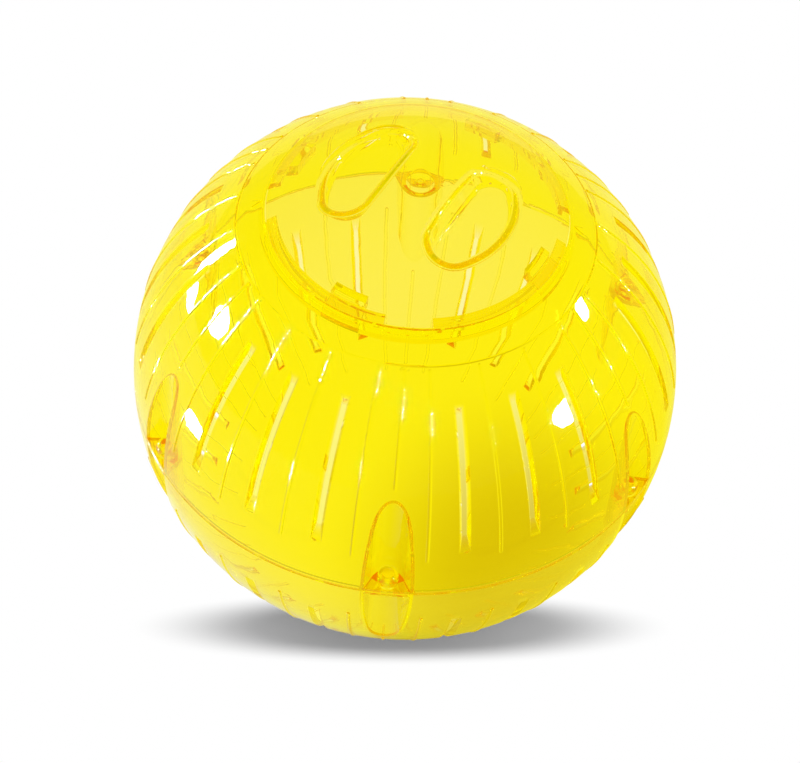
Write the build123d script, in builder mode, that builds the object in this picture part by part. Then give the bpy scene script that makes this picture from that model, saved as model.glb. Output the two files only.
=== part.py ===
from build123d import *
from math import acos, cos, degrees, radians, sin, sqrt, tan
import os

# A clear running ball for a small pet: two halves that snap together and a bayonet lid.
# The origin is the ball's centre, +Z runs out through the middle of the lid, and -Y is the front.
os.makedirs("parts", exist_ok=True)

# Ball
ball_diameter = 250.0
wall = 2.2
overrun = 5.0
nearness = 0.01
front_angle = -90.0
sector_count = 6

# Doorway
door_diameter = 120.0
ledge_wall = 2.2
notch_count = 4
notch_angle = 18.5
stop_width = 2.0
stop_setback = 0.5
stop_play_angle = 0.6
door_line_polar = 38.6
door_line_depth = 0.45
mark_length = 4.4
mark_width = 3.6
mark_height = 0.4
mark_setback = 1.8

# Lid
lid_overlap = 5.0
lid_wall = 2.2
lid_gap = 0.4
seat_gap = 0.3
bar_width = 33.6
well_diameter = 81.0
well_corner_share = 0.38
well_depth = 12.0
well_draft = 16.0
well_floor_round = 2.0
well_root_round = 1.5
gate_diameter = 12.0
gate_depth = 0.6
gate_dot_diameter = 1.8

# Bayonet hooks
hook_angle = 15.5
lock_turn = 26.0
leg_thickness = 4.0
leg_gap = 0.6
foot_thickness = 2.0
foot_gap = 0.4
foot_setback = 0.5

# Air slots and ribs
slots_per_sector = 3
slot_width = 5.0
slot_throat = 2.1
slot_corner = 0.6
slot_dip = 0.5
slot_run_on = 8.0
slot_top_polar = 46.0
slot_top_lean = 50.0
slot_bottom_polar = 78.3
slot_bottom_lean = 73.0
rib_width = 1.7
rib_height = 0.45
rib_top_polar = 39.5
rib_bottom_polar = 79.7
short_rib_bottom_polar = 62.8

# Clip channels and their shelves
channel_spread = 27.0
channel_round = 7.8
shelf = 2.0

# Snap studs
stud_hole = 9.0
stud_web = 1.5
stud_clearance = 0.5
stud_play = 0.2
stud_wall = 2.0
snap_bite = 0.3
snap_gap = 0.15

# Seam, with a lap inside it and a fine groove outside
lap_height = 1.6
lap_gap = 0.2
seam_line_depth = 0.35

# Sizes worked out from the ones above
ball_radius = ball_diameter / 2
inner_radius = ball_radius - wall
mid_wall_radius = ball_radius - wall / 2
sector_angle = 360 / sector_count
slot_pitch = sector_angle / (slots_per_sector + 1)
rib_start = front_angle + slot_pitch / 2
rib_radius = (rib_width**2 / 4 + rib_height**2) / 2 / rib_height
rib_line = ball_radius + rib_height - rib_radius
slot_slope = (slot_width - slot_throat) / 2 / wall
slot_outer_half = slot_width / 2 + overrun * slot_slope
slot_inner_half = slot_throat / 2 - slot_dip * slot_slope

door_radius = door_diameter / 2
lid_radius = door_radius + lid_overlap
lid_inner_radius = ball_radius - lid_wall
lid_mid_radius = ball_radius - lid_wall / 2
pocket_radius = lid_radius + lid_gap
collar_radius = pocket_radius + wall
seat_radius = lid_inner_radius - seat_gap
ledge_radius = seat_radius - ledge_wall
ledge_mid_radius = seat_radius - ledge_wall / 2
notch_spacing = 360 / notch_count
stop_inner = door_radius + stop_setback
stop_end = notch_spacing - lock_turn - hook_angle / 2 - stop_play_angle
door_line_reach = ball_radius * sin(radians(door_line_polar))

leg_outer = door_radius - leg_gap
leg_inner = leg_outer - leg_thickness
foot_top = ledge_radius - foot_gap
foot_bottom = foot_top - foot_thickness
foot_reach = lid_radius - foot_setback

stud_head = stud_hole + 2 * snap_bite
stud_core = stud_hole - 2 * (stud_play + stud_wall)
stud_radius = ball_radius - stud_web - stud_hole / 2
head_height = shelf + snap_gap + sqrt(stud_head**2 - stud_hole**2) / 2
channel_depth = stud_web + stud_hole + stud_clearance
floor_radius = ball_radius - channel_depth
channel_apex = floor_radius + channel_round - channel_round / sin(radians(channel_spread))
lap_root = lap_height / 2

well_radius = well_diameter / 2
well_corner = well_corner_share * (well_radius - bar_width / 2)
well_floor = ball_radius - well_depth
well_rim = sqrt(ball_radius**2 - well_radius**2)
well_inset = (well_rim - well_floor) * tan(radians(well_draft))
well_rise = well_depth + overrun
well_rim_round = well_root_round + lid_wall


def sphere_arc(radius, start_reach, end_reach):
    """An arc of a sphere about the origin, between two distances from the Z axis, above the seam."""
    start = degrees(acos(start_reach / radius))
    end = degrees(acos(end_reach / radius))
    return CenterArc((0, 0), radius, start, end - start)


def meridian(angle):
    """The upright plane through the Z axis that stands at an angle from +X."""
    turn = radians(angle)
    return Plane(origin=(0, 0, 0), x_dir=(cos(turn), sin(turn), 0), z_dir=(sin(turn), -cos(turn), 0))


def channel_outline(grow):
    """The plan of one clip channel along +X, grown on all sides."""
    mouth_reach = ball_radius + overrun
    mouth_half = (mouth_reach - channel_apex) * tan(radians(channel_spread))
    with BuildSketch() as outline:
        with BuildLine():
            Polyline((mouth_reach, -mouth_half), (channel_apex, 0), (mouth_reach, mouth_half), close=True)
        make_face()
        fillet(outline.vertices().group_by(Axis.X)[0], channel_round)
        if grow > 0:
            offset(amount=grow)
    return outline.sketch


def well_outline(grow):
    """The plan of one finger well at its floor: a round of the lid, cut straight along the grip bar."""
    half_chord = sqrt(well_radius**2 - (bar_width / 2) ** 2)
    with BuildSketch() as outline:
        with BuildLine():
            chord = Line((bar_width / 2, -half_chord), (bar_width / 2, half_chord))
            ThreePointArc(chord @ 1, (well_radius, 0), chord @ 0)
        make_face()
        fillet(outline.vertices(), well_corner)
        offset(amount=grow - well_inset)
    return outline.sketch


def well_edges(part, radius):
    """The edges that the wells make with a sphere about the origin, inside the lid's own rim."""
    found = ShapeList()
    for edge in part.edges():
        middle = edge.center()
        off_sphere = abs(middle.length - radius)
        from_axis = sqrt(middle.X**2 + middle.Y**2)
        if off_sphere < nearness and from_axis < door_radius:
            found.append(edge)
    return found


def on_meridian(polar):
    """The plane square to the meridian over +X at an angle from the pole, its Y axis pointing out of the ball."""
    turn = radians(polar)
    return Plane(origin=(0, 0, 0), x_dir=(0, 1, 0), z_dir=(cos(turn), 0, -sin(turn)))


def rib_bead(bottom_polar):
    """One rib on the meridian over +X: a half-round bead with round ends, from the door line down to an angle."""
    with BuildPart() as bead:
        with BuildSketch(on_meridian(rib_top_polar)):
            with Locations((0, rib_line)):
                Circle(rib_radius)
        revolve(axis=Axis.Y, revolution_arc=bottom_polar - rib_top_polar)
        for polar in (rib_top_polar, bottom_polar):
            with Locations((rib_line * sin(radians(polar)), 0, rib_line * cos(radians(polar)))):
                Sphere(rib_radius)
    return bead.part


def slot_end(polar, lean):
    """The plane that ends an air slot: it meets the outside at an angle from the pole and leans off the radius."""
    turn = radians(polar)
    tilt = turn + radians(lean)
    edge = (ball_radius * sin(turn), 0, ball_radius * cos(turn))
    return Plane(origin=edge, x_dir=(0, 1, 0), z_dir=(cos(tilt), 0, -sin(tilt)))


channel_plan = channel_outline(0)
block_plan = channel_outline(wall)
lap_break_plan = channel_outline(wall + lap_gap)
well_plan = well_outline(0)
well_block_plan = well_outline(lid_wall)
long_rib = rib_bead(rib_bottom_polar)
short_rib = rib_bead(short_rib_bottom_polar)

# Solid blocks behind the channels, from the seam up, which leave the channel walls and the shelf
with BuildPart() as channel_blocks:
    with BuildSketch():
        with PolarLocations(0, sector_count, start_angle=front_angle):
            add(block_plan)
    extrude(amount=ball_radius)
    Sphere(mid_wall_radius, mode=Mode.INTERSECT)

# The channels themselves, drawn straight along the ball's axis from the top of the shelf
with BuildPart() as channels:
    with BuildSketch(Plane.XY.offset(shelf)):
        with PolarLocations(0, sector_count, start_angle=front_angle):
            add(channel_plan)
    extrude(amount=ball_radius)

# One air slot on the meridian over +X: every side leans in to a narrow throat, the lower end most of all
with BuildPart() as air_slot:
    with BuildSketch(on_meridian(slot_top_polar - slot_run_on)):
        with BuildLine():
            Polyline(
                (-slot_inner_half, inner_radius - slot_dip),
                (-slot_outer_half, ball_radius + overrun),
                (slot_outer_half, ball_radius + overrun),
                (slot_inner_half, inner_radius - slot_dip),
                close=True,
            )
        make_face()
    revolve(axis=Axis.Y, revolution_arc=slot_bottom_polar - slot_top_polar + 2 * slot_run_on)
    split(bisect_by=slot_end(slot_top_polar, 180 - slot_top_lean), keep=Keep.BOTTOM)
    split(bisect_by=slot_end(slot_bottom_polar, slot_bottom_lean), keep=Keep.BOTTOM)
    slot_corners = ShapeList()
    for end_face in air_slot.faces().filter_by(GeomType.PLANE):
        slot_corners += end_face.edges().sort_by(SortBy.LENGTH)[-2:]
    fillet(slot_corners, slot_corner)

with BuildPart() as air_slots:
    for step in range(1, slots_per_sector + 1):
        turn = front_angle + step * slot_pitch
        with PolarLocations(0, sector_count, start_angle=turn):
            add(air_slot.part)

# Thin ribs: a short one over each channel, and long ones between the slots
with BuildPart() as ribs:
    with PolarLocations(0, sector_count, start_angle=front_angle):
        add(short_rib)
    for step in range(slots_per_sector + 1):
        turn = rib_start + step * slot_pitch
        with PolarLocations(0, sector_count, start_angle=turn):
            add(long_rib)

# Bayonet notches through the doorway ledge
with BuildPart() as notches:
    with BuildSketch(meridian(front_angle - notch_angle / 2)):
        with Locations((door_radius - overrun, ledge_radius / 2)):
            Rectangle(
                pocket_radius - door_radius + overrun,
                ball_radius,
                align=(Align.MIN, Align.MIN),
            )
    revolve(axis=Axis.Z, revolution_arc=notch_angle)

# Stop ribs under the ledge, each between one notch and the hook that is locked before the next
with BuildPart() as stop_rib:
    with BuildSketch(meridian(front_angle + notch_angle / 2)):
        with BuildLine():
            root = sphere_arc(ledge_mid_radius, stop_inner, stop_inner + stop_width)
            tip = sphere_arc(foot_bottom, stop_inner, stop_inner + stop_width)
            Line(root @ 0, tip @ 0)
            Line(root @ 1, tip @ 1)
        make_face()
    revolve(axis=Axis.Z, revolution_arc=stop_end - notch_angle / 2)

# Raised pointers beside the left and right notches
with BuildPart() as marks:
    with BuildSketch():
        with PolarLocations(pocket_radius + mark_setback, 2):
            Triangle(a=mark_width, b=mark_length, c=mark_length, rotation=90, align=(Align.CENTER, Align.MAX))
    extrude(amount=ball_radius)
    Sphere(ball_radius + mark_height, mode=Mode.INTERSECT)
    Sphere(mid_wall_radius, mode=Mode.SUBTRACT)

# The groove that the two halves share along the seam
with BuildPart() as seam_line:
    with BuildSketch(Plane.XZ):
        with Locations((ball_radius, 0)):
            RegularPolygon(seam_line_depth, side_count=4)
    revolve(axis=Axis.Z)

# Upper half: the wall with its stepped doorway, then the channels, ribs, slots and fits
with BuildPart() as upper_half:
    with BuildSketch(Plane.XZ):
        with BuildLine():
            outside = sphere_arc(ball_radius, ball_radius, pocket_radius)
            seat = sphere_arc(seat_radius, pocket_radius, door_radius)
            underside = sphere_arc(ledge_radius, door_radius, collar_radius)
            inside = sphere_arc(inner_radius, collar_radius, inner_radius)
            Line(outside @ 1, seat @ 0)
            Line(seat @ 1, underside @ 0)
            Line(underside @ 1, inside @ 0)
            Line(inside @ 1, outside @ 0)
        make_face()
    revolve(axis=Axis.Z)
    add(channel_blocks.part)
    add(channels.part, mode=Mode.SUBTRACT)
    add(ribs.part)
    add(air_slots.part, mode=Mode.SUBTRACT)
    with PolarLocations(0, notch_count):
        add(stop_rib.part)
    with PolarLocations(0, notch_count):
        add(notches.part, mode=Mode.SUBTRACT)
    add(marks.part)
    with BuildSketch():
        with PolarLocations(stud_radius, sector_count, start_angle=front_angle):
            Circle(stud_hole / 2)
    extrude(amount=shelf, mode=Mode.SUBTRACT)
    with BuildSketch():
        Circle(mid_wall_radius + lap_gap / 2)
        with PolarLocations(0, sector_count, start_angle=front_angle):
            add(block_plan, mode=Mode.SUBTRACT)
    extrude(amount=lap_height + lap_gap, mode=Mode.SUBTRACT)
    with BuildSketch(Plane.XZ):
        with Locations((door_line_reach, sqrt(ball_radius**2 - door_line_reach**2))):
            RegularPolygon(door_line_depth, side_count=4, rotation=90 - door_line_polar)
    revolve(axis=Axis.Z, mode=Mode.SUBTRACT)
    add(seam_line.part, mode=Mode.SUBTRACT)

# One snap stud on its own axis, cored from below
with BuildPart() as stud:
    with BuildSketch(Plane.XZ):
        with Locations((0, -shelf)):
            Rectangle(stud_hole / 2 - stud_play, shelf + head_height, align=(Align.MIN, Align.MIN))
        with Locations((0, head_height)):
            Circle(stud_head / 2)
        split(bisect_by=Plane.YZ)
    revolve(axis=Axis.Z)
    with BuildSketch(Plane.XY.offset(-shelf)):
        Circle(stud_core / 2)
    extrude(amount=shelf + head_height + stud_head / 2 - stud_wall, mode=Mode.SUBTRACT)

# Lower half: the closed wall with the same channels, ribs and slots, its studs and the lap tongue
with BuildPart() as lower_half:
    with BuildSketch(Plane.XZ):
        with BuildLine():
            lower_outside = CenterArc((0, 0), ball_radius, -90, 90)
            lower_inside = CenterArc((0, 0), inner_radius, -90, 90)
            Line(lower_outside @ 0, lower_inside @ 0)
            Line(lower_outside @ 1, lower_inside @ 1)
        make_face()
    revolve(axis=Axis.Z)
    mirror(channel_blocks.part, about=Plane.XY)
    mirror(channels.part, about=Plane.XY, mode=Mode.SUBTRACT)
    mirror(ribs.part, about=Plane.XY)
    mirror(air_slots.part, about=Plane.XY, mode=Mode.SUBTRACT)
    with BuildSketch():
        with PolarLocations(stud_radius, sector_count, start_angle=front_angle):
            Circle(stud_core / 2)
    extrude(amount=-shelf, mode=Mode.SUBTRACT)
    with PolarLocations(stud_radius, sector_count, start_angle=front_angle):
        add(stud.part)
    with BuildSketch(Plane.XY.offset(-lap_root)):
        Circle(mid_wall_radius - lap_gap / 2)
        Circle(inner_radius, mode=Mode.SUBTRACT)
        with PolarLocations(0, sector_count, start_angle=front_angle):
            add(lap_break_plan, mode=Mode.SUBTRACT)
    extrude(amount=lap_root + lap_height)
    add(seam_line.part, mode=Mode.SUBTRACT)

# Finger wells in the lid, at the lid's locked turn, and the solid blocks that leave their walls
with BuildPart() as wells:
    with BuildSketch(Plane.XY.offset(well_floor)):
        with PolarLocations(0, 2, start_angle=-lock_turn):
            add(well_plan)
    extrude(amount=well_rise, taper=-well_draft)
    fillet(wells.edges().group_by(Axis.Z)[0], well_floor_round)

with BuildPart() as well_blocks:
    with BuildSketch(Plane.XY.offset(well_floor - lid_wall)):
        with PolarLocations(0, 2, start_angle=-lock_turn):
            add(well_block_plan)
    extrude(amount=well_rise, taper=-well_draft)
    fillet(well_blocks.edges().group_by(Axis.Z)[0], well_floor_round + lid_wall)
    Sphere(lid_mid_radius, mode=Mode.INTERSECT)

# One bayonet hook: a leg inside the doorway and a foot that reaches out under the ledge
with BuildPart() as hook:
    with BuildSketch(meridian(front_angle - lock_turn - hook_angle / 2)):
        with BuildLine():
            leg_root = sphere_arc(lid_mid_radius, leg_inner, leg_outer)
            foot_upper = sphere_arc(foot_top, leg_outer, foot_reach)
            foot_lower = sphere_arc(foot_bottom, foot_reach, leg_inner)
            Line(leg_root @ 1, foot_upper @ 0)
            Line(foot_upper @ 1, foot_lower @ 0)
            Line(foot_lower @ 1, leg_root @ 0)
        make_face()
    revolve(axis=Axis.Z, revolution_arc=hook_angle)

# Lid: a round of the ball's own wall with its wells, hooks and gate dimple
with BuildPart() as lid:
    with BuildSketch(Plane.XZ):
        with BuildLine():
            lid_outside = sphere_arc(ball_radius, lid_radius, 0)
            lid_inside = sphere_arc(lid_inner_radius, lid_radius, 0)
            Line(lid_outside @ 0, lid_inside @ 0)
            Line(lid_outside @ 1, lid_inside @ 1)
        make_face()
    revolve(axis=Axis.Z)
    add(well_blocks.part)
    fillet(well_edges(lid.part, lid_inner_radius), well_root_round)
    add(wells.part, mode=Mode.SUBTRACT)
    fillet(well_edges(lid.part, ball_radius), well_rim_round)
    with PolarLocations(0, notch_count):
        add(hook.part)
    with BuildSketch(Plane.XY.offset(ball_radius)):
        Circle(gate_diameter / 2)
        Circle(gate_dot_diameter / 2, mode=Mode.SUBTRACT)
    extrude(amount=-gate_depth, mode=Mode.SUBTRACT)

upper_half.part.label = "upper_half"
export_step(upper_half.part, "parts/upper_half.step")
lower_half.part.label = "lower_half"
export_step(lower_half.part, "parts/lower_half.step")
lid.part.label = "lid"
export_step(lid.part, "parts/lid.step")
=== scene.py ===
import math

import bmesh
import bpy
from mathutils import Matrix, Vector


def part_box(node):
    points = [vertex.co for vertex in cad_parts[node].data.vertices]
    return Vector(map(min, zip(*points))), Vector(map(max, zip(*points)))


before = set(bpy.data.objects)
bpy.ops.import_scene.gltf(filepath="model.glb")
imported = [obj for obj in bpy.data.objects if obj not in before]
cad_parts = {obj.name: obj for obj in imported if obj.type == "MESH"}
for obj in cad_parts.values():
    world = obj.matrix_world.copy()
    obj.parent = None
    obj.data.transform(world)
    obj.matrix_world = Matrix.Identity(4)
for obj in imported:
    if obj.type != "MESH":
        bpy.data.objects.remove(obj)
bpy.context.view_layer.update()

# The photograph's frame, in pixels: the ball's centre and its outline's radius
IMAGE_WIDTH = 800
IMAGE_HEIGHT = 763
BALL_PIXEL = (405.0, 368.5)
OUTLINE_PIXELS = 271.3

# The viewing angle, with the ball's axis leaning to the right of upright
VIEW_ELEVATION = math.radians(50.9)
VIEW_ROLL = math.radians(4.7)
VIEW_DISTANCE_RADII = 8.47
SENSOR_WIDTH = 36.0

# The plastic: the colour that each face lets through, how much red, green and blue one millimetre of
# each piece takes away, how it bends light, and the share of a plain gloss that it has face on
FACE_TINT = (1.0, 0.93, 0.9)
DYE_PER_MM = {
    "upper_half": (0.0001, 0.002, 1.60),
    "lower_half": (0.0001, 0.002, 0.65),
    "lid": (0.0001, 0.002, 0.42),
}
MM_PER_METRE = 1000
PLASTIC_IOR = 1.5
GLOSS_SHARE = 0.3
# Handling scuffs: fine noise, in features per metre, and the most that it roughens the gloss
SCUFF_SCALE = 420.0
SCUFF_DETAIL = 6.0
SCUFF_GRIT = 0.7
SCUFF_ROUGHNESS = 0.05
# Waves left by the mould: slow noise, in features per metre, and its height in metres
WAVE_SCALE = 38.0
WAVE_DETAIL = 2.0
WAVE_STRENGTH = 0.2
WAVE_HEIGHT = 0.0006
# Painted glow: light that is still inside the wall after this many turns comes out as amber emission,
# standing in for light carried along thick edges
WALL_BOUNCES = 32
HALF_BOUNCE = 0.5
PAINTED_WALL_GLOW = (0.88, 0.72, 0.01)

# The floor: a square of pale paper, its half width in radii, its cells each way and its grain
FLOOR_REACH = 40
FLOOR_CELLS = 8
PAPER_SCALE = 60.0
PAPER_DETAIL = 3.0
PAPER = ((0.0, (0.94, 0.94, 0.94, 1.0)), (1.0, (0.97, 0.97, 0.97, 1.0)))
# The floor's own shadow shows in an oval under the front of the ball, level in the picture, and fades
# into white: the oval's middle and its reach sideways and forwards, in radii, and the share of the way
# out where it starts to fade
SHADOW_MIDDLE = (0.08, -0.49)
SHADOW_REACH = (1.08, 0.175)
SHADOW_TURN = math.radians(5.5)
SHADOW_FADE_SHARE = 0.5
# It also shows in a rounder oval under the ball, which only other views see
CONTACT_MIDDLE = (0.0, 0.2)
CONTACT_REACH = (0.78, 0.66)
CONTACT_FADE_SHARE = 0.7
# Through the plastic the floor is white, with a painted soft yellow shade on the right, away from the
# light
WHITE = (1.0, 1.0, 1.0, 1.0)
SHADE_MIDDLE = (0.6, -0.3)
SHADE_REACH = (0.95, 1.2)
SHADE_FADE_SHARE = 0.2
SHADE = ((0.0, (0.7, 0.6, 0.3, 1.0)), (1.0, WHITE))
# Painted reflection: what the plastic mirrors of the floor, by turns about the ball from the left by way
# of the front: white, then a painted shadow of the ball, then painted yellow light as if let through the
# ball, then paler to the back
PAINTED_MIRRORED_SHADOW = (0.45, 0.36, 0.04, 1.0)
PAINTED_MIRRORED_LIGHT = (0.95, 0.84, 0.06, 1.0)
PAINTED_MIRRORED_PALE = (0.95, 0.9, 0.4, 1.0)
PAINTED_FLOOR_REFLECTION = (
    (0.0, WHITE),
    (0.27, PAINTED_MIRRORED_SHADOW),
    (0.42, PAINTED_MIRRORED_LIGHT),
    (0.54, PAINTED_MIRRORED_LIGHT),
    (0.64, PAINTED_MIRRORED_PALE),
    (0.92, PAINTED_MIRRORED_PALE),
    (1.0, WHITE),
)

# The room: its light, the painted dim yellow reflection that the plastic mirrors of it, and what shows
# through the plastic, both by height above the horizon
ROOM_LIGHT = 1.05
PAINTED_MIRRORED_ROOM = ((0.05, (0.55, 0.5, 0.15, 1.0)), (0.4, (0.4, 0.36, 0.05, 1.0)))
ROOM = ((0.45, WHITE), (0.9, (0.6, 0.6, 0.6, 1.0)))

# The lamps: the pixel where each one's highlight sits, its distance from there in metres, its angles
# across and along the ball's outline, and how many degrees its length leans outwards from that outline
SOFTBOXES = {
    "softbox_left": ((219, 321), 1.6, (0.19, 0.19), 0),
    "softbox_left_strip": ((203, 267), 1.6, (0.075, 0.6), 43),
    "softbox_left_strip_low": ((184, 310), 1.6, (0.12, 0.3), 34),
    "softbox_left_low": ((197, 438), 0.4, (0.18, 0.3), 0),
    "softbox_right": ((583, 311), 1.6, (0.1, 0.11), 0),
    "softbox_right_low": ((565, 413), 1.6, (0.17, 0.17), 0),
}
SOFTBOX_RADIANCE = 600.0

RADIUS = -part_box("lower_half")[0].z


def new_material(name):
    """An empty node material and its node tree."""
    material = bpy.data.materials.new(name)
    material.use_nodes = True
    tree = material.node_tree
    tree.nodes.clear()
    return material, tree


def add_node(tree, kind, **settings):
    """A node with its plain properties set."""
    node = tree.nodes.new(kind)
    for key, value in settings.items():
        setattr(node, key, value)
    return node


def noise(tree, vector, scale, detail, grit=0.5):
    """A noise texture on given coordinates."""
    node = add_node(tree, "ShaderNodeTexNoise")
    node.inputs["Scale"].default_value = scale
    node.inputs["Detail"].default_value = detail
    node.inputs["Roughness"].default_value = grit
    tree.links.new(vector, node.inputs["Vector"])
    return node.outputs["Fac"]


def spread(tree, value, high):
    """A value from 0 to 1 spread from 0 to a highest value."""
    node = add_node(tree, "ShaderNodeMapRange")
    node.inputs["To Max"].default_value = high
    tree.links.new(value, node.inputs["Value"])
    return node.outputs["Result"]


def fade(tree, value, start):
    """0 up to a start, 1 from 1 on, and smooth between them."""
    node = add_node(tree, "ShaderNodeMapRange", interpolation_type="SMOOTHSTEP")
    node.inputs["From Min"].default_value = start
    tree.links.new(value, node.inputs["Value"])
    return node.outputs["Result"]


def ramp(tree, value, stops):
    """A colour by a value, from stops of position and colour."""
    node = add_node(tree, "ShaderNodeValToRGB")
    elements = node.color_ramp.elements
    while len(elements) < len(stops):
        elements.new(1.0)
    for element, (position, colour) in zip(elements, stops):
        element.position = position
        element.color = colour
    tree.links.new(value, node.inputs["Fac"])
    return node.outputs["Color"]


def combine(tree, operation, first, *others, clamp=False):
    """A few values taken together by one operation."""
    for other in others:
        node = add_node(tree, "ShaderNodeMath", operation=operation, use_clamp=clamp)
        tree.links.new(first, node.inputs[0])
        tree.links.new(other, node.inputs[1])
        first = node.outputs[0]
    return first


def mix_shaders(tree, share, first, second):
    """A first shader where a share is 0 and a second one where it is 1."""
    node = add_node(tree, "ShaderNodeMixShader")
    tree.links.new(share, node.inputs["Fac"])
    tree.links.new(first.outputs[0], node.inputs[1])
    tree.links.new(second.outputs[0], node.inputs[2])
    return node


def last_bounce(tree):
    """1 for light on its last turn inside the wall, where the painted amber glow shows, and 0 before it.
    """
    depth = add_node(tree, "ShaderNodeLightPath").outputs["Ray Depth"]
    node = add_node(tree, "ShaderNodeMath", operation="COMPARE")
    node.inputs[1].default_value = WALL_BOUNCES
    node.inputs[2].default_value = HALF_BOUNCE
    tree.links.new(depth, node.inputs[0])
    return node.outputs[0]


def plastic(name, dye):
    """Clear tinted styrene: smooth, a little wavy from the mould, with fine handling scuffs and a painted
    amber glow.
    """
    material, tree = new_material(name)
    output = add_node(tree, "ShaderNodeOutputMaterial")
    shader = add_node(tree, "ShaderNodeBsdfPrincipled")
    shader.inputs["Base Color"].default_value = (*FACE_TINT, 1.0)
    shader.inputs["IOR"].default_value = PLASTIC_IOR
    shader.inputs["Transmission Weight"].default_value = 1.0
    shader.inputs["Specular Tint"].default_value = (GLOSS_SHARE, GLOSS_SHARE, GLOSS_SHARE, 1.0)
    tree.links.new(shader.outputs["BSDF"], output.inputs["Surface"])

    place = add_node(tree, "ShaderNodeTexCoord").outputs["Object"]
    scuffs = noise(tree, place, SCUFF_SCALE, SCUFF_DETAIL, SCUFF_GRIT)
    tree.links.new(spread(tree, scuffs, SCUFF_ROUGHNESS), shader.inputs["Roughness"])
    bump = add_node(tree, "ShaderNodeBump")
    bump.inputs["Strength"].default_value = WAVE_STRENGTH
    bump.inputs["Distance"].default_value = WAVE_HEIGHT
    tree.links.new(noise(tree, place, WAVE_SCALE, WAVE_DETAIL), bump.inputs["Height"])
    tree.links.new(bump.outputs["Normal"], shader.inputs["Normal"])

    # Painted glow: amber emission on a ray's last turn inside the wall, standing in for guided light
    shader.inputs["Emission Color"].default_value = (*PAINTED_WALL_GLOW, 1.0)
    tree.links.new(last_bounce(tree), shader.inputs["Emission Strength"])
    material.cycles.emission_sampling = "NONE"

    strongest = max(dye)
    volume = add_node(tree, "ShaderNodeVolumeAbsorption")
    volume.inputs["Density"].default_value = strongest * MM_PER_METRE
    volume.inputs["Color"].default_value = (*[1 - part / strongest for part in dye], 1.0)
    tree.links.new(volume.outputs["Volume"], output.inputs["Volume"])
    return material


def mirror_rays(tree, path):
    """1 for the rays that the plastic mirrors, and not for the ones that it lets through."""
    glossy = path.outputs["Is Glossy Ray"]
    return combine(tree, "SUBTRACT", glossy, path.outputs["Is Transmission Ray"], clamp=True)


def oval(tree, place, middle, reach, turn=0):
    """How far a place on the floor is from an oval's middle: 1 on the oval itself."""
    inside = add_node(tree, "ShaderNodeMapping", vector_type="TEXTURE")
    inside.inputs["Location"].default_value = (middle[0] * RADIUS, middle[1] * RADIUS, 0)
    inside.inputs["Rotation"].default_value = (0, 0, turn)
    inside.inputs["Scale"].default_value = (reach[0] * RADIUS, reach[1] * RADIUS, RADIUS)
    tree.links.new(place, inside.inputs["Vector"])
    away = add_node(tree, "ShaderNodeVectorMath", operation="LENGTH")
    tree.links.new(inside.outputs[0], away.inputs[0])
    return away.outputs["Value"]


def floor_white_and_painted_shade(tree, place, path):
    """White to look at, with a painted shade through the plastic and a painted reflection in its mirror.
    """
    shaded = fade(tree, oval(tree, place, SHADE_MIDDLE, SHADE_REACH), SHADE_FADE_SHARE)
    # Painted shade: for rays through the plastic, the floor's white turns to a yellow shade near the ball
    through = add_node(tree, "ShaderNodeMix", data_type="RGBA")
    through.inputs["A"].default_value = WHITE
    tree.links.new(path.outputs["Is Transmission Ray"], through.inputs["Factor"])
    tree.links.new(ramp(tree, shaded, SHADE), through.inputs["B"])

    # Painted reflection: the floor's colour for mirrored rays, by turns about the ball
    turns = add_node(tree, "ShaderNodeTexGradient", gradient_type="RADIAL")
    tree.links.new(place, turns.inputs["Vector"])
    colour = add_node(tree, "ShaderNodeMix", data_type="RGBA")
    tree.links.new(mirror_rays(tree, path), colour.inputs["Factor"])
    tree.links.new(through.outputs["Result"], colour.inputs["A"])
    tree.links.new(ramp(tree, turns.outputs["Fac"], PAINTED_FLOOR_REFLECTION), colour.inputs["B"])
    white = add_node(tree, "ShaderNodeEmission")
    tree.links.new(colour.outputs["Result"], white.inputs["Color"])
    return white


def floor_material():
    """Pale matt paper that shows white, with painted shade and reflection, behind the plastic and keeps
    the ball's shadow.
    """
    material, tree = new_material("studio_floor")
    output = add_node(tree, "ShaderNodeOutputMaterial")
    place = add_node(tree, "ShaderNodeTexCoord").outputs["Object"]
    path = add_node(tree, "ShaderNodeLightPath")
    paper = add_node(tree, "ShaderNodeBsdfDiffuse")
    grain = noise(tree, place, PAPER_SCALE, PAPER_DETAIL)
    tree.links.new(ramp(tree, grain, PAPER), paper.inputs["Color"])

    # The lit paper, with the ball's shadow, shows close to the ball
    front = fade(tree, oval(tree, place, SHADOW_MIDDLE, SHADOW_REACH, SHADOW_TURN), SHADOW_FADE_SHARE)
    contact = fade(tree, oval(tree, place, CONTACT_MIDDLE, CONTACT_REACH), CONTACT_FADE_SHARE)
    clear = combine(tree, "MINIMUM", front, contact)
    seen = combine(tree, "MULTIPLY", path.outputs["Is Camera Ray"], clear)
    by_plastic = [path.outputs[ray] for ray in ("Is Glossy Ray", "Is Transmission Ray")]
    share = combine(tree, "MAXIMUM", seen, *by_plastic)
    mix = mix_shaders(tree, share, paper, floor_white_and_painted_shade(tree, place, path))
    tree.links.new(mix.outputs[0], output.inputs["Surface"])
    return material


def add_floor():
    """A wide level floor that the ball touches at its lowest point."""
    mesh = bpy.data.meshes.new("studio_floor")
    shape = bmesh.new()
    bmesh.ops.create_grid(shape, x_segments=FLOOR_CELLS, y_segments=FLOOR_CELLS, size=FLOOR_REACH * RADIUS)
    shape.to_mesh(mesh)
    shape.free()
    floor = bpy.data.objects.new("studio_floor", mesh)
    floor.location = (0, 0, -RADIUS)
    floor.data.materials.append(floor_material())
    bpy.context.scene.collection.objects.link(floor)


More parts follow.
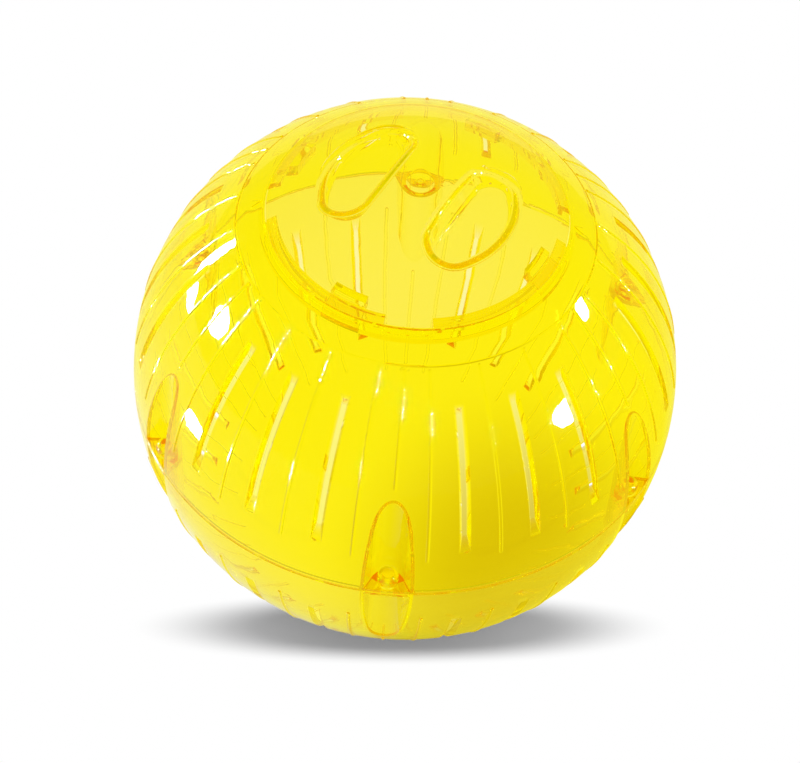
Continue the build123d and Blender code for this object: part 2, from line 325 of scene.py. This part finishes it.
def add_world():
    """Even soft light, a white room to look at, and a painted dim yellow reflection for the plastic to
    mirror.
    """
    world = bpy.data.worlds.new("studio")
    world.use_nodes = True
    bpy.context.scene.world = world
    tree = world.node_tree
    tree.nodes.clear()
    output = add_node(tree, "ShaderNodeOutputWorld")
    light = add_node(tree, "ShaderNodeBackground")
    light.inputs["Strength"].default_value = ROOM_LIGHT
    height = add_node(tree, "ShaderNodeSeparateXYZ")
    tree.links.new(add_node(tree, "ShaderNodeTexCoord").outputs["Generated"], height.inputs[0])
    room = add_node(tree, "ShaderNodeBackground")
    tree.links.new(ramp(tree, height.outputs["Z"], ROOM), room.inputs["Color"])
    # Painted reflection: a dim yellow room that only the plastic's mirror shows
    mirrored = add_node(tree, "ShaderNodeBackground")
    tree.links.new(ramp(tree, height.outputs["Z"], PAINTED_MIRRORED_ROOM), mirrored.inputs["Color"])

    path = add_node(tree, "ShaderNodeLightPath")
    looks = [path.outputs[ray] for ray in ("Is Camera Ray", "Is Glossy Ray", "Is Transmission Ray")]
    shown = mix_shaders(tree, mirror_rays(tree, path), room, mirrored)
    mix = mix_shaders(tree, combine(tree, "MAXIMUM", *looks), light, shown)
    tree.links.new(mix.outputs[0], output.inputs["Surface"])


def view_axes():
    """The camera's right, up and back directions."""
    back = Vector((0, -math.cos(VIEW_ELEVATION), math.sin(VIEW_ELEVATION)))
    right = Vector((1, 0, 0))
    up = back.cross(right)
    turned_right = right * math.cos(VIEW_ROLL) + up * math.sin(VIEW_ROLL)
    turned_up = up * math.cos(VIEW_ROLL) - right * math.sin(VIEW_ROLL)
    return turned_right, turned_up, back


def view_distance():
    """How far the camera stands from the ball's centre, and its focal length in pixels."""
    distance = VIEW_DISTANCE_RADII * RADIUS
    return distance, OUTLINE_PIXELS * math.sqrt(distance**2 - RADIUS**2) / RADIUS


def add_softbox(name, pixel, distance, angles, lean):
    """An oval soft lamp, placed so that the ball mirrors it at a pixel of the photograph."""
    right, up, back = view_axes()
    camera_distance, focal = view_distance()
    eye = back * camera_distance
    ray = right * (pixel[0] - BALL_PIXEL[0]) + up * (BALL_PIXEL[1] - pixel[1]) - back * focal
    ray.normalize()
    nearest = -eye.dot(ray)
    hit = eye + ray * (nearest - math.sqrt(nearest**2 - eye.length_squared + RADIUS**2))
    mirrored = ray.reflect(hit.normalized())
    along = hit.cross(ray).normalized()

    lamp = bpy.data.lights.new(name, "AREA")
    lamp.shape = "ELLIPSE"
    lamp.size = angles[0] * distance
    lamp.size_y = angles[1] * distance
    area = math.pi * lamp.size * lamp.size_y / 4
    lamp.energy = SOFTBOX_RADIANCE * math.pi * area
    softbox = bpy.data.objects.new(name, lamp)
    turn = Matrix((along.cross(mirrored), along, mirrored)).transposed().to_4x4()
    leaning = Matrix.Rotation(-math.radians(lean), 4, "Z")
    softbox.matrix_world = Matrix.Translation(hit + mirrored * distance) @ turn @ leaning
    softbox.visible_camera = False
    softbox.visible_diffuse = False
    softbox.visible_transmission = False
    bpy.context.scene.collection.objects.link(softbox)


def add_camera():
    """The photograph's view, with the ball where the photograph has it."""
    distance, focal_pixels = view_distance()
    right, up, back = view_axes()
    data = bpy.data.cameras.new("camera")
    data.sensor_fit = "HORIZONTAL"
    data.sensor_width = SENSOR_WIDTH
    data.lens = focal_pixels / IMAGE_WIDTH * SENSOR_WIDTH
    data.shift_x = (IMAGE_WIDTH / 2 - BALL_PIXEL[0]) / IMAGE_WIDTH
    data.shift_y = (BALL_PIXEL[1] - IMAGE_HEIGHT / 2) / IMAGE_WIDTH
    camera = bpy.data.objects.new("camera", data)
    turn = Matrix((right, up, back)).transposed().to_4x4()
    camera.matrix_world = Matrix.Translation(back * distance) @ turn
    bpy.context.scene.collection.objects.link(camera)
    bpy.context.scene.camera = camera


for name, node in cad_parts.items():
    node.data.materials.clear()
    node.data.materials.append(plastic(name + "_plastic", DYE_PER_MM[name]))

add_floor()
add_world()
for name, (pixel, distance, angles, lean) in SOFTBOXES.items():
    add_softbox(name, pixel, distance, angles, lean)
add_camera()

scene = bpy.context.scene
scene.view_settings.view_transform = "Standard"
scene.cycles.max_bounces = WALL_BOUNCES
scene.cycles.transmission_bounces = WALL_BOUNCES
scene.cycles.glossy_bounces = WALL_BOUNCES
scene.cycles.caustics_refractive = False
scene.cycles.caustics_reflective = False
